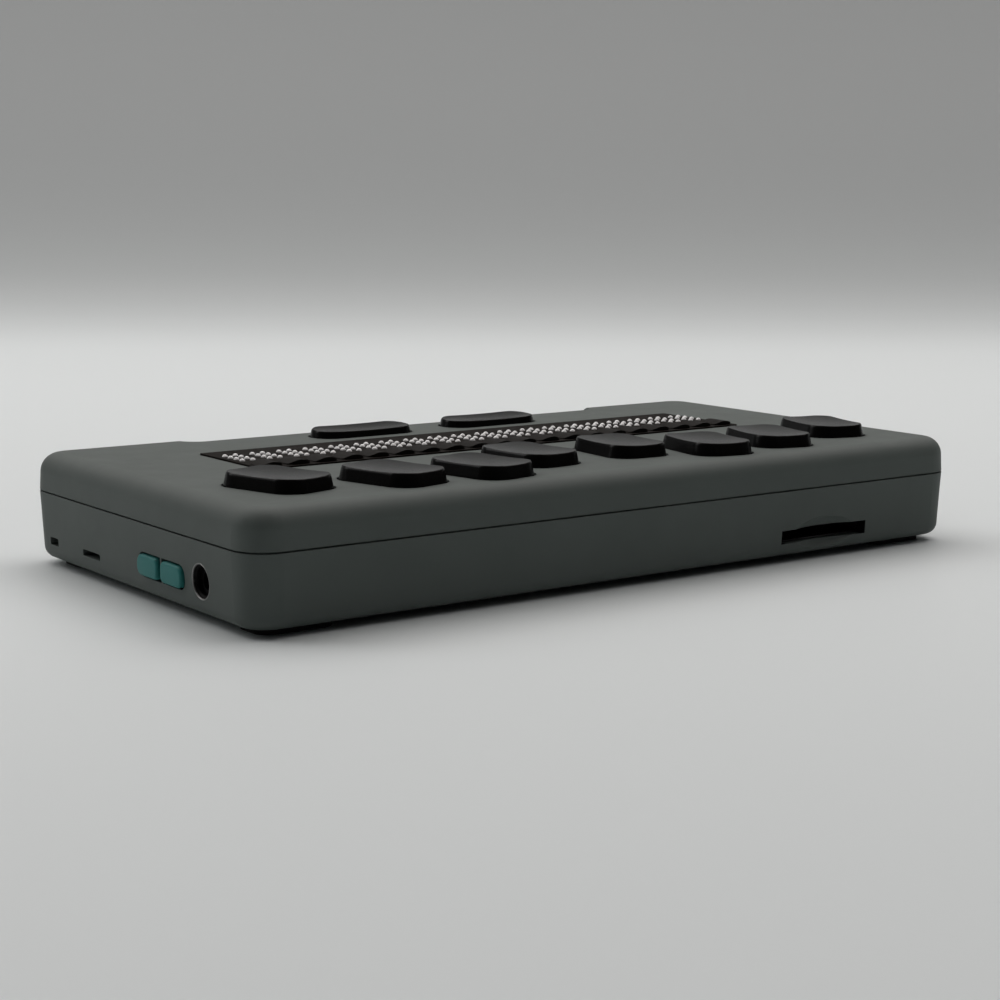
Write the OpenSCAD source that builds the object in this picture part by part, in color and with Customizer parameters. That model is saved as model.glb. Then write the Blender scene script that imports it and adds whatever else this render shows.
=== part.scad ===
// Refreshable braille display: a two-part moulded housing with a line of twenty braille cells,
// eight braille input keys, two space bars, routing buttons, thumb keys and edge controls.
// Millimetres. +X is the user's right, +Y the rear, +Z up. Z = 0 is the table under the feet.

/* [Housing] */
// Width at the seam
body_w = 182.5; // [178:0.5:196]
// Depth at the seam
body_d = 95.6; // [94.6:0.2:104]
// Height of the top face above the table
top_z = 23.65; // [23.2:0.05:26]
// Height of the seam between the two shells
seam_z = 15.7; // [15.2:0.1:16.4]
// Corner radius in plan, at the seam
corner_r = 7; // [6:0.5:10]
// Draft of the side walls in degrees
draft = 3; // [1:0.5:4]
// Radius of the top edge
top_fillet = 4; // [2:0.25:4.5]
// Radius of the bottom edge
bottom_fillet = 2.5; // [1:0.25:3]
// Wall of the top cover at the seam
cover_wall = 2.1; // [1.8:0.1:2.4]
// Thickness of the top face
top_t = 2; // [1.6:0.1:2.2]
// Thickness of the floor
floor_t = 1.6; // [1.4:0.1:1.8]
// Height of the shadow groove along the seam
seam_gap = 0.35; // [0.2:0.05:0.5]
// Depth of the shadow groove
seam_depth = 0.6; // [0.3:0.1:1]
// Thickness of the locating lip inside the seam
lip_t = 0.75; // [0.6:0.05:1]
// Height of the locating lip above the seam
lip_h = 1; // [0.6:0.1:1.4]
// Play between the lip and the cover
lip_gap = 0.15; // [0.1:0.05:0.2]

/* [Front scoop] */
// Half length of the scoop along the front top edge
scoop_half = 58.5; // [50:0.5:64]
// Distance from the front of the seam back to the scoop's rim on the top face
scoop_set = 7.5; // [6.5:0.1:7.8]
// Height of the scoop's lower rim below the top face
scoop_drop = 5; // [4:0.1:5.6]
// Radius of the hollow
scoop_r = 17; // [15:0.5:24]
// Radius at the ends of the hollow
scoop_end_r = 5.5; // [4:0.5:14]

/* [Feet] */
// Height of the pads below the housing
foot_h = 1.4; // [1.2:0.1:1.6]
// Length of a pad
foot_w = 16; // [12:0.5:17]
// Depth of a pad
foot_d = 10; // [7:0.5:11]
// Corner radius of a pad
foot_r = 3; // [1:0.25:3.4]
// Distance from the seam outline to a pad
foot_inset = 4.7; // [4:0.1:6]
// Depth of the recess that holds a pad
foot_recess = 0.5; // [0.3:0.05:0.7]

/* [Braille keys] */
// Width of a key at the top face
key_w = 14.2; // [12.6:0.1:14.6]
// Length of a key at the top face
key_l = 20.6; // [18:0.1:21]
// Corner radius of a key in plan
key_r = 4.6; // [3:0.1:5.4]
// Height of a key's corners above the top face
key_h = 3; // [2.4:0.1:3.6]
// Lean of a key's sides in degrees
key_lean = 12; // [6:1:14]
// Depth of the dished top below its corners
key_dish = 0.8; // [0.4:0.05:1]
// Gap between a key and its opening
key_gap = 0.43; // [0.3:0.01:0.55]
// Travel of a key
key_travel = 1.5; // [1:0.1:1.7]
// Distances of the four keys of one hand from the centre line, outermost first
key_x = [71.9, 49.7, 29.9, 12.15];
// Places of those keys from front to rear
key_y = [24.35, 29.9, 31.67, 23.82];
// Angles at which they lean to the centre line
key_turn = [15.6, 14, 10.9, 5.3];

/* [Space bars] */
// Length of a bar from left to right
bar_w = 25; // [20:0.25:26]
// Depth of a bar
bar_d = 9.4; // [8.9:0.1:10]
// Corner radius of a bar
bar_r = 4.4; // [3:0.1:4.6]
// Height of a bar's front edge above the top face
bar_h = 2; // [1.6:0.1:2.6]
// Distance of a bar's middle from the centre line
bar_x = 17.7; // [16:0.1:22]
// Place of the bars from front to rear
bar_y = -32.4; // [-33:0.1:-31.5]
// Distance of the dish's lowest place behind the middle of a bar
bar_low = 1.5; // [0:0.1:2]
// Travel of a bar
bar_travel = 1.2; // [0.8:0.1:1.5]

/* [Braille line] */
// Distance from one cell to the next
cell_pitch = 6.42; // [6.2:0.02:6.5]
// Distance from one dot to the next in a cell
dot_pitch = 2.45; // [2.3:0.01:2.5]
// Place of the middle of the dots from front to rear
dot_y = -10.85; // [-12:0.05:-9.5]
// Diameter of a pin
pin_d = 1.25; // [1.1:0.05:1.6]
// Height of a raised dot above the cells
dot_h = 0.5; // [0.4:0.05:0.55]
// Travel of a pin
dot_travel = 0.6; // [0.5:0.05:0.8]
// Play of a pin in its bore, all round
pin_gap = 0.08; // [0.06:0.01:0.12]
// Front edge of the braille window
window_front = -22.3; // [-24:0.1:-21]
// Rear edge of the braille window
window_rear = 4.8; // [4.6:0.1:8]
// Corner radius of the braille window
window_r = 0.8; // [0.6:0.1:2]
// Gap around the cells in the window
window_gap = 0.2; // [0.1:0.05:0.4]
// Gap between neighbouring cells
cell_gap = 0.12; // [0.08:0.02:0.2]
// Height of the cells above the top face
cell_rise = 0.3; // [0.1:0.05:0.5]
// Rear end of the cells' reeds
reed_rear = 36; // [30:0.5:37]

/* [Routing buttons] */
// Width of a button
route_w = 5.2; // [4.6:0.1:5.4]
// Depth of a button
route_d = 5.6; // [4.8:0.1:5.8]
// Corner radius of a button
route_r = 1.5; // [0.8:0.1:2]
// Place of the buttons from front to rear
route_y = 0.8; // [0:0.1:0.9]
// Height of a button's crest above the cells
route_h = 0.95; // [0.8:0.05:1.2]
// Radius of its crown from left to right
route_crown_r = 4.6; // [4:0.1:8]
// Travel of a button
route_travel = 0.8; // [0.5:0.05:1]

/* [Thumb keys] */
// Height of their middle above the table
thumb_z = 10; // [9.6:0.1:10.2]
// Height of a thumb key
thumb_h = 6.4; // [5.4:0.1:7]
// Corner radius of a thumb key
thumb_r = 1.6; // [1:0.1:2]
// Diameter of the round home key
home_d = 8; // [7:0.1:8.4]
// Length of the arrow keys
arrow_w = 13; // [10:0.5:15]
// Distance of the arrow keys from the centre line
arrow_x = 17; // [15:0.5:18]
// Length of the previous and next keys
page_w = 19; // [14:0.5:20]
// Distance of the previous and next keys from the centre line
page_x = 38; // [36:0.5:42]
// Travel of a thumb key
thumb_travel = 0.8; // [0.5:0.05:1]

/* [Edge controls] */
// Height of the edge buttons above the table
edge_z = 7.6; // [7.4:0.05:7.8]
// Height of an edge button
edge_h = 4.2; // [4:0.1:5.2]
// Length of a volume button
volume_l = 8.5; // [7:0.1:8.8]
// Distance from the headphone jack forward to the middle of the volume buttons
volume_set = 15.95; // [15.6:0.05:16.6]
// Distance between the volume buttons
volume_split = 1.3; // [1.2:0.05:2]
// Radius of the outer ends of the volume buttons
volume_r = 1.7; // [1:0.1:1.9]
// Length of the power button
power_l = 9; // [7:0.1:10]
// Place of the power button
power_y = -8; // [-10:0.5:-6]
// How far the edge buttons stand out of the wall
edge_proud = 0.8; // [0.6:0.05:1.2]
// Travel of an edge button
edge_travel = 0.8; // [0.5:0.05:0.9]

/* [Ports] */
// Distance of the headphone jack from the rear of the seam
jack_set = 19.2; // [18.8:0.1:19.4]
// Height of the headphone jack above the table
jack_z = 8.1; // [7.8:0.05:8.4]
// Diameter of the jack's bore
jack_bore = 3.6; // [3.5:0.02:3.8]
// Diameter of the hole in the wall
jack_hole = 5.9; // [5:0.1:6.1]
// Diameter of the chamfer around it
jack_rim = 6.9; // [6.2:0.1:7.2]
// Depth of the jack's mouth behind the wall's face
jack_inset = 1.5; // [1:0.1:2]
// Place of the card slot
slot_x = -50.6; // [-51:0.1:-46]
// Height of the card slot above the table
slot_z = 5.7; // [5.6:0.05:6]
// Width of the card slot
slot_w = 25.4; // [25:0.1:26]
// Height of the card slot
slot_h = 2.95; // [2.6:0.05:3.2]
// Width of the card in the socket
card_w = 24.3; // [24.2:0.02:24.6]
// Half length of the finger scoop
finger_half = 9.45; // [8:0.05:11]
// Half height of the finger scoop on the wall
finger_rise = 3.5; // [3:0.05:3.8]
// Depth of the finger scoop
finger_depth = 2; // [1.2:0.05:2.2]
// Place of the large data port
usb_a_y = -28; // [-28.5:0.1:-26]
// Height of the large data port
usb_a_z = 8.4; // [8.2:0.05:8.6]
// Place of the small data port
usb_c_y = 14; // [10:0.5:18]
// Place of the status light
light_y = 2.5; // [0:0.5:5]
// Diameter of the status light's hole
light_d = 1.8; // [1.2:0.1:2.4]
// Middle of the speaker slot
speaker_y = -18.65; // [-20:0.05:-17]
// Length of the speaker slot
speaker_slot_l = 8.1; // [6:0.1:10]
// Height of the speaker slot
speaker_slot_h = 1.35; // [1:0.05:1.6]
// Height of the speaker slot above the table
speaker_z = 5.65; // [5.2:0.05:6]
// Distance of the strap hole from the front of the seam
strap_set = 11.1; // [10.8:0.1:13.8]
// Length of the strap hole
strap_l = 4; // [3:0.1:4.4]
// Height of the strap hole
strap_h = 1.65; // [1.2:0.05:2]

/* [Battery] */
// Width of the battery
battery_w = 64; // [56:0.5:66]
// Depth of the battery
battery_d = 28; // [24:0.5:28.6]
// Height of the battery
battery_h = 6; // [5:0.1:6.4]
// Distance from the front of the seam back to the middle of the battery
battery_set = 23.8; // [23.4:0.1:25.8]
// Width of the screw margin at each end of the battery door
door_margin = 6.6; // [6:0.1:8]
// Width of the ledge along the door
door_ledge = 2; // [1.5:0.1:2.4]
// Gap around the battery door
door_gap = 0.2; // [0.1:0.05:0.35]

/* [Boards and fasteners] */
// Thickness of the circuit boards
board_t = 1; // [0.8:0.1:1.2]
// Height of a key switch
switch_h = 1.1; // [0.9:0.1:1.3]
// Distance of the housing screws from the centre line
boss_x = 67.5; // [66.8:0.1:68.2]
// Distance of the housing screws from the middle, front and rear
boss_y = 41.3; // [40.8:0.1:41.4]
// Radius of a screw boss in the lower shell
boss_r = 3.2; // [3:0.1:3.3]
// Diameter of a screw's thread
screw_d = 2; // [1.6:0.1:2.2]
// Diameter of a screw's head
screw_head_d = 3.8; // [3.2:0.1:4]
// Distance of the keyboard board's posts from the centre line
post_x = 71; // [70:0.1:71.5]
// Radius of a board post
post_r = 2.2; // [1.8:0.1:2.4]

/* [Hidden] */
$fn = 64;
CELLS = 20;
DOTS = 8;
// Hand and column of each dot's key: dots 1, 2, 3, 7 on the left and 4, 5, 6, 8 on the right
DOT_SIDE = [-1, -1, -1, 1, 1, 1, -1, 1];
DOT_COLUMN = [3, 2, 1, 3, 2, 1, 0, 0];
eps = 0.01;
past = 1;
fine = 240;
// Clear space left between parts that meet only at the end of their travel
stop_gap = 0.15;
// Clear space between a flange and the wall that holds it
seat_gap = 0.1;
// Small flanges that hold keys and buttons in
flange = 0.8;
flange_t = 1.2;
// Rounding and lean of small moulded edges
soft_edge = 0.5;
key_edge = 1;
small_lean = 2;

// Levels
slope = tan(draft);
base_z = foot_h;
floor_z = base_z + floor_t;
lid_z = top_z - top_t;
strip_z = top_z + cell_rise;
flange_z = lid_z - seat_gap - flange_t;
plunger_h = 1.1;
plunger_r = 2;
plunger_z = flange_z - plunger_h;
switch_r = 3;
key_board_top = plunger_z - key_travel - stop_gap - switch_h;
bar_plunger_z = key_board_top + switch_h + bar_travel + stop_gap;
key_board_z = key_board_top - board_t;
socket_h = 3.4;
main_z = slot_z + socket_h / 2;
main_top = main_z + board_t;
part_h = 0.7;
battery_clear = 0.3;
cell_board_z = max(main_top + part_h + battery_clear, floor_z + battery_h + battery_clear);
cell_base = cell_board_z + board_t;
cell_top = key_board_z - battery_clear;

// Plan of the shells
case_wall = cover_wall + lip_gap + lip_t;
in_w = body_w - 2 * case_wall;
in_d = body_d - 2 * case_wall;
in_r = corner_r - case_wall;
function face_x(z) = body_w / 2 - slope * (seam_z - z);
function face_y(z) = body_d / 2 - slope * (seam_z - z);

// Braille line
line_w = CELLS * cell_pitch;
window_w = line_w + 2 * window_gap;
window_d = window_rear - window_front;
window_y = (window_rear + window_front) / 2;
cell_w = cell_pitch - cell_gap;
cap_d = window_d - 2 * window_gap;
pin_floor = cell_top + soft_edge;
pin_z = pin_floor + dot_travel + stop_gap;
route_flange = 0.5;
route_play = 0.15;
route_flange_t = 0.8;
route_depth = 5;
route_floor = strip_z - route_depth;
route_z = route_floor + route_travel + stop_gap;
function cell_x(i) = (i - (CELLS - 1) / 2) * cell_pitch;

// Keys and buttons
bar_flange = 1;
bar_tab = 4;
stem_h = 0.6;
stem_r = 1;
thumb_face = body_d / 2 - 0.05;
thumb_wall = in_d / 2;
thumb_gap = 0.3;
thumb_base = thumb_wall - seat_gap - flange_t;
thumb_plunger_z = thumb_z + 2 * stem_r;
thumb_plunger_y = thumb_base - stem_h;
thumb_switch_y = thumb_plunger_y - thumb_travel - stop_gap;
thumb_switch_w = 5;
thumb_switch_d = 3;
thumb_switch_z = thumb_plunger_z - 1.2 * stem_r;
edge_face = face_x(edge_z) + edge_proud;
edge_wall = in_w / 2;
edge_gap = 0.35;
edge_base = edge_wall - seat_gap - flange_t;
edge_plunger_z = main_top + stem_r + stop_gap;
edge_plunger_x = edge_base - stem_h;
edge_switch_x = edge_plunger_x - edge_travel - stop_gap;
side_switch = [3, 4.4, 2];
jack_y = body_d / 2 - jack_set;
volume_y = jack_y - volume_set;
volume_up_y = volume_y + (volume_split + volume_l) / 2;
volume_down_y = volume_y - (volume_split + volume_l) / 2;

// Battery door and fasteners
battery_y = -body_d / 2 + battery_set;
pocket_gap = 0.4;
pocket_w = battery_w + 2 * pocket_gap;
pocket_d = battery_d + 2 * pocket_gap;
pocket_wall = 1.2;
door_w = pocket_w + 2 * door_margin;
door_d = pocket_d + 2 * door_ledge;
door_r = 2;
frame_h = 0.7 * battery_h;
battery_r = 1.5;
ledge_t = 1.2;
ledge_rim = 1.5;
door_screw_x = pocket_w / 2 + door_margin / 2;
screw_play = 0.15;
thread_play = 0.05;
head_play = 0.25;
head_h = 1.2;
door_head_h = 0.8;
head_sink = 2;
head_z = base_z + head_sink + head_h;
door_web = 0.6;
door_head_z = floor_z - door_web;
tip_cover = 1.6;
screw_tip = lid_z - tip_cover;
door_screw_tip = floor_z + 2 * screw_d;
door_boss_r = 2.3;
cover_boss_r = 2.7;

// Sizes of the ports behind the walls
usb_a_w = 13.2;
usb_a_h = 5.8;
usb_a_l = 14;
usb_c_w = 9;
usb_c_h = 3.2;
usb_c_l = 8;
usb_c_z = main_top + usb_c_h / 2;
port_gap = 0.25;
port_wall = 0.35;
port_inset = 0.8;
port_back = 2;
usb_a_tongue = 1.8;
usb_c_tongue = 0.7;
tongue_w = 0.74;
tongue_l = 0.75;
jack_w = 6.4;
jack_l = 13;
jack_h = 5.8;
socket_w = 26;
socket_d = 28;
card_t = 2.3;
speaker_l = 14;
speaker_t = 9;
speaker_rim = 1.5;
strap_y = -body_d / 2 + strap_set;
strap_web = 0.8;
board_edge = 1;
notch_gap = 0.3;
boss_clear = boss_r + notch_gap;

// Chips on the main board, as [x, y, side]
chips = [[0, 22, 14], [18, 20, 9], [-18, 20, 10], [45, 30, 8]];

// Board posts, as [x, y]: those that carry the keyboard board and those that carry the cell board
usb_a_back = face_x(usb_a_z) - port_inset - usb_a_l;
post_clear = 2.9;
port_post = [usb_a_back - post_clear - post_r, -33];
key_post_y = [3, 35.5];
rear_post = [28, 33];
front_post = [50, -18];
key_posts = [for (side = [-1, 1], p = [port_post, [post_x, key_post_y[0]], [post_x, key_post_y[1]]])
  [side * p[0], p[1]]];
rear_posts = [for (side = [-1, 1]) [side * rear_post[0], rear_post[1]]];
front_posts = [for (side = [-1, 1]) [side * front_post[0], front_post[1]]];
post_tip_r = 1.4;
post_hole_r = post_tip_r + 0.2;

function two_digits(i) = str(i < 10 ? "0" : "", i);

housing_colour = [0.29, 0.31, 0.3];
key_colour = [0.1, 0.1, 0.1];
cell_colour = [0.13, 0.12, 0.11];
pin_colour = [0.92, 0.92, 0.9];
teal = [0.16, 0.42, 0.4];
metal = [0.7, 0.7, 0.72];
board_colour = [0.05, 0.25, 0.15];

// A rectangle with rounded corners, centred
module rounded_rect(w, d, r) {
  square([w - 2 * r, d], center = true);
  square([w, d - 2 * r], center = true);
  for (x = [-1, 1], y = [-1, 1])
    translate([x * (w / 2 - r), y * (d / 2 - r)]) circle(r);
}

// A block with rounded upright edges, standing on z
module rounded_block(w, d, r, z, h) {
  translate([0, 0, z]) linear_extrude(h) rounded_rect(w, d, r);
}

// Half section of a moulded cap: an optional flange, an upright skirt up to level, then sides that
// lean in to a rounded edge at the crest. The section's axis is the corner's axis.
module cap_profile(r, base, level, crest, lean, edge, flange = 0, flange_t = 0) {
  tip_r = r - tan(lean) * (crest - level);
  centre = [tip_r + edge * tan(lean) - edge / cos(lean), crest - edge];
  foot = flange > 0
    ? [[r + flange, base], [r + flange, base + flange_t], [r, base + flange_t]]
    : [[r, base]];
  shoulder = level > base ? [[r, level]] : [];
  tangent = centre + edge * [cos(lean), sin(lean)];
  intersection() {
    union() {
      polygon(concat([[0, base]], foot, shoulder, [tangent, [centre[0], crest], [0, crest]]));
      translate(centre) circle(edge);
    }
    translate([0, base]) square([r + flange, crest - base]);
  }
}

// Sweeps a half section round a rectangle with corner radius r, and fills the middle
module sweep_rect(w, d, r, low, high) {
  for (x = [0, 1], y = [0, 1])
    mirror([x, 0, 0]) mirror([0, y, 0])
      translate([w / 2 - r, d / 2 - r, 0]) rotate_extrude(angle = 90) children();
  for (x = [0, 1])
    mirror([x, 0, 0]) translate([w / 2 - r, 0, 0])
      rotate([90, 0, 0]) linear_extrude(d - 2 * r, center = true) children();
  for (y = [0, 1])
    mirror([0, y, 0]) translate([0, d / 2 - r, 0])
      rotate([90, 0, 90]) linear_extrude(w - 2 * r, center = true) children();
  translate([-w / 2 + r, -d / 2 + r, low]) cube([w - 2 * r, d - 2 * r, high - low]);
}

// Puts the sections of a shell on the seam: up for the cover, down for the lower shell
module shell_form(height, edge) {
  sweep_rect(body_w, body_d, corner_r, 0, height)
    cap_profile(corner_r, 0, 0, height, draft, edge);
}

// Stands children on the right wall (z becomes x) or on the front wall (z becomes -y)
module on_side() {
  rotate([90, 0, 90]) children();
}
module on_front() {
  rotate([90, 0, 0]) children();
}

// The hollow along the front top edge, grown by a wall thickness where the wall follows it
module front_scoop(grow = 0) {
  rim = [-body_d / 2 + scoop_set, top_z];
  low = [-face_y(seam_z) + slope * (top_z - scoop_drop - seam_z), top_z - scoop_drop];
  chord = low - rim;
  out = [chord[1], -chord[0]] / norm(chord);
  centre = (rim + low) / 2 + out * sqrt(scoop_r * scoop_r - chord * chord / 4);
  r = scoop_r + grow;
  half = scoop_half + grow;
  translate([0, centre[0], centre[1]]) rotate([0, 90, 0]) rotate_extrude($fn = fine) {
    translate([0, scoop_end_r - half]) square([r, 2 * (half - scoop_end_r)]);
    translate([0, -half]) square([r - scoop_end_r, 2 * half]);
    for (s = [-1, 1])
      translate([r - scoop_end_r, s * (half - scoop_end_r)]) circle(scoop_end_r);
  }
}

// Moves children to the place of one dot's key
module at_key(k) {
  side = DOT_SIDE[k - 1];
  c = DOT_COLUMN[k - 1];
  translate([side * key_x[c], key_y[c], 0]) rotate([0, 0, side * key_turn[c]]) children();
}

module key_openings() {
  for (k = [1:DOTS])
    at_key(k) rounded_block(key_w + 2 * key_gap, key_l + 2 * key_gap, key_r + key_gap,
                            lid_z - past, top_t + 2 * past);
  for (side = [-1, 1])
    translate([side * bar_x, bar_y, 0])
      rounded_block(bar_w + 2 * key_gap, bar_d + 2 * key_gap, bar_r + key_gap,
                    lid_z - past, top_t + 2 * past);
}

module at_bosses() {
  for (x = [-1, 1], y = [-1, 1]) translate([x * boss_x, y * boss_y, 0]) children();
}

module top_cover() {
  color(housing_colour) difference() {
    union() {
      difference() {
        translate([0, 0, seam_z]) shell_form(top_z - seam_z, top_fillet);
        difference() {
          rounded_block(body_w - 2 * cover_wall, body_d - 2 * cover_wall, corner_r - cover_wall,
                        seam_z - past, lid_z - seam_z + past);
          front_scoop(top_t);
        }
      }
      at_bosses() translate([0, 0, seam_z]) cylinder(lid_z - seam_z + eps, r = cover_boss_r);
    }
    seam_groove();
    front_scoop();
    key_openings();
    translate([0, window_y, 0])
      rounded_block(window_w, window_d, window_r, lid_z - past, top_t + 2 * past);
    at_bosses() translate([0, 0, seam_z - past])
      cylinder(screw_tip + past - seam_z + stop_gap, d = screw_d + 2 * thread_play);
  }
}

// The shadow line cut into the cover's lower edge
module seam_groove() {
  difference() {
    rounded_block(body_w + past, body_d + past, corner_r + past / 2, seam_z - eps, seam_gap + eps);
    rounded_block(body_w - 2 * seam_depth, body_d - 2 * seam_depth, corner_r - seam_depth,
                  seam_z - past, seam_gap + 2 * past);
  }
}

module case_lip() {
  inset = cover_wall + lip_gap;
  difference() {
    rounded_block(body_w - 2 * inset, body_d - 2 * inset, corner_r - inset,
                  seam_z - past, lip_h + past);
    rounded_block(in_w, in_d, in_r, seam_z - 2 * past, lip_h + 3 * past);
  }
}

module post(tip, shoulder) {
  translate([0, 0, floor_z - eps]) cylinder(shoulder - floor_z + eps, r = post_r);
  translate([0, 0, shoulder - eps]) cylinder(tip - shoulder + eps, r = post_tip_r);
}

// The frame around the battery: a ledge over the door, walls beside the battery, screw bosses
module battery_frame() {
  translate([0, battery_y, 0]) difference() {
    union() {
      rounded_block(door_w + 2 * ledge_rim, door_d + 2 * ledge_rim, door_r + ledge_rim,
                    floor_z - eps, ledge_t + eps);
      rounded_block(pocket_w + 2 * pocket_wall, pocket_d + 2 * pocket_wall, door_r,
                    floor_z - eps, frame_h);
      for (side = [-1, 1])
        translate([side * door_screw_x, 0, floor_z - eps])
          cylinder(door_screw_tip - floor_z + past, r = door_boss_r);
    }
    rounded_block(pocket_w, pocket_d, door_r - pocket_wall, floor_z - past, battery_h + past);
  }
}

module at_door_screws() {
  for (side = [-1, 1]) translate([side * door_screw_x, battery_y, 0]) children();
}

module at_feet() {
  for (x = [-1, 1], y = [-1, 1])
    translate([x * (body_w / 2 - foot_inset - foot_w / 2),
               y * (body_d / 2 - foot_inset - foot_d / 2), 0])
      children();
}

module underside_openings() {
  at_feet() rounded_block(foot_w, foot_d, foot_r, base_z - past, foot_recess + past);
  translate([0, battery_y, 0]) {
    rounded_block(door_w + 2 * door_gap, door_d + 2 * door_gap, door_r + door_gap,
                  base_z - past, floor_t + past);
    rounded_block(pocket_w, pocket_d, door_r - pocket_wall, base_z - past, floor_t + 2 * past);
  }
  at_bosses() {
    translate([0, 0, base_z - past]) cylinder(head_z - base_z + past, d = screw_head_d + 2 * head_play);
    translate([0, 0, base_z]) cylinder(seam_z, d = screw_d + 2 * screw_play);
  }
  at_door_screws() translate([0, 0, base_z])
    cylinder(door_screw_tip - base_z + stop_gap, d = screw_d + 2 * thread_play);
}

// Outline of a volume button: rounded at its outer end only. dir is +1 for the rear one
module volume_outline(dir, grow = 0) {
  intersection() {
    translate([-dir * volume_r, 0])
      rounded_rect(volume_l + 2 * volume_r + 2 * grow, edge_h + 2 * grow, volume_r + grow);
    square([volume_l + 2 * grow, edge_h + 2 * grow], center = true);
  }
}

module side_openings() {
  through = face_x(seam_z) - edge_wall + 2 * past;
  // volume, power, status light
  for (dir = [-1, 1])
    on_side() translate([dir > 0 ? volume_up_y : volume_down_y, edge_z, edge_wall - past])
      linear_extrude(through) volume_outline(dir, edge_gap);
  mirror([1, 0, 0]) on_side() translate([power_y, edge_z, edge_wall - past])
    linear_extrude(through)
      rounded_rect(power_l + 2 * edge_gap, edge_h + 2 * edge_gap, volume_r + edge_gap);
  mirror([1, 0, 0]) on_side() translate([light_y, edge_z, edge_wall - past])
    cylinder(through, d = light_d);
  // headphone jack, with a chamfer square to the wall
  on_side() translate([jack_y, jack_z, edge_wall - past]) cylinder(through, d = jack_hole);
  chamfer = (jack_rim - jack_hole) / 2;
  translate([face_x(jack_z), jack_y, jack_z]) rotate([0, 90 + draft, 0])
    translate([0, 0, -2 * chamfer])
      cylinder(3 * chamfer, r1 = jack_rim / 2 - 2 * chamfer, r2 = jack_rim / 2 + chamfer);
  // speaker slot and strap hole
  on_side() translate([speaker_y, speaker_z, edge_wall - past])
    linear_extrude(through) rounded_rect(speaker_slot_l, speaker_slot_h, speaker_slot_h / 4);
  on_side() translate([strap_y, speaker_z, edge_wall + strap_web])
    linear_extrude(through) rounded_rect(strap_l, strap_h, strap_h / 5);
  // data ports
  mirror([1, 0, 0]) on_side() translate([usb_a_y, usb_a_z, edge_wall - past])
    linear_extrude(through) rounded_rect(usb_a_w + 2 * port_gap, usb_a_h + 2 * port_gap, port_gap);
  mirror([1, 0, 0]) on_side() translate([usb_c_y, usb_c_z, edge_wall - past])
    linear_extrude(through)
      rounded_rect(usb_c_w + 2 * port_gap, usb_c_h + 2 * port_gap, usb_c_h / 2 + port_gap - eps);
}

module rear_openings() {
  translate([slot_x - slot_w / 2, in_d / 2 - past, slot_z - slot_h / 2])
    cube([slot_w, body_d - in_d, slot_h]);
  // lens-shaped finger scoop: a spindle turned about an axis just outside the wall
  offset_out = (finger_rise * finger_rise - finger_depth * finger_depth) / (2 * finger_depth);
  waist = offset_out + finger_depth;
  arc_r = (finger_half * finger_half + finger_depth * finger_depth) / (2 * finger_depth);
  translate([slot_x, face_y(slot_z) + offset_out, slot_z]) rotate([0, 90, 0])
    rotate_extrude($fn = fine) intersection() {
      translate([waist - arc_r, 0]) circle(arc_r, $fn = fine);
      translate([0, -arc_r]) square([waist, 2 * arc_r]);
    }
}

module thumb_prism(w, h, r, grow, low, high) {
  translate([0, 0, low]) linear_extrude(high - low) rounded_rect(w + 2 * grow, h + 2 * grow, r + grow);
}

module front_openings() {
  low = thumb_wall - past;
  high = body_d / 2 + past;
  on_front() {
    for (side = [-1, 1]) {
      translate([side * page_x, thumb_z, 0]) thumb_prism(page_w, thumb_h, thumb_r, thumb_gap, low, high);
      translate([side * arrow_x, thumb_z, 0]) thumb_prism(arrow_w, thumb_h, thumb_r, thumb_gap, low, high);
    }
    translate([0, thumb_z, low]) cylinder(high - low, d = home_d + 2 * thumb_gap);
  }
}

module bottom_case() {
  color(housing_colour) difference() {
    union() {
      difference() {
        translate([0, 0, seam_z]) mirror([0, 0, 1]) shell_form(seam_z - base_z, bottom_fillet);
        rounded_block(in_w, in_d, in_r, floor_z, seam_z - floor_z + past);
      }
      case_lip();
      at_bosses() translate([0, 0, floor_z - eps]) cylinder(seam_z - floor_z + eps, r = boss_r);
      battery_frame();
      for (p = key_posts) translate(p) post(key_board_z, main_z);
      for (p = rear_posts) translate(p) post(cell_board_z, main_z);
      for (p = front_posts) translate(p)
        translate([0, 0, floor_z - eps]) cylinder(cell_board_z - floor_z + eps, r = post_r);
    }
    underside_openings();
    side_openings();
    rear_openings();
    front_openings();
  }
}

module battery_door() {
  color(housing_colour) difference() {
    translate([0, battery_y, 0]) rounded_block(door_w, door_d, door_r, base_z, floor_t);
    at_door_screws() {
      translate([0, 0, base_z - past]) cylinder(floor_t + 2 * past, d = screw_d + 2 * screw_play);
      translate([0, 0, base_z - past])
        cylinder(door_head_z - base_z + past, d = screw_head_d + 2 * head_play);
    }
  }
}

module battery() {
  color([0.2, 0.22, 0.26]) translate([0, battery_y, 0])
    rounded_block(battery_w, battery_d, battery_r, floor_z, battery_h);
}

// A screw standing on its head, with a cross recess, up to its tip
module screw(seat, head, tip) {
  difference() {
    union() {
      translate([0, 0, seat - head]) cylinder(head, d = screw_head_d);
      translate([0, 0, seat - eps]) cylinder(tip - seat + eps, d = screw_d);
    }
    for (a = [0, 90])
      rotate([0, 0, a]) translate([0, 0, seat - head]) cube([screw_d, screw_d / 4, head], center = true);
  }
}

module screws() {
  color(metal) {
    at_bosses() screw(head_z, head_h, screw_tip);
    at_door_screws() screw(door_head_z, door_head_h, door_screw_tip);
  }
}

module rubber_feet() {
  color([0.06, 0.06, 0.06]) at_feet() rounded_block(foot_w, foot_d, foot_r, 0, foot_h + foot_recess);
}

// Room in the main board for an edge button's flange at the end of its travel
module button_notch(y, l) {
  low = edge_base - edge_travel - notch_gap;
  half = (l + flange) / 2 + notch_gap;
  translate([low, y - half]) square([edge_wall - low, 2 * half]);
}

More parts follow.
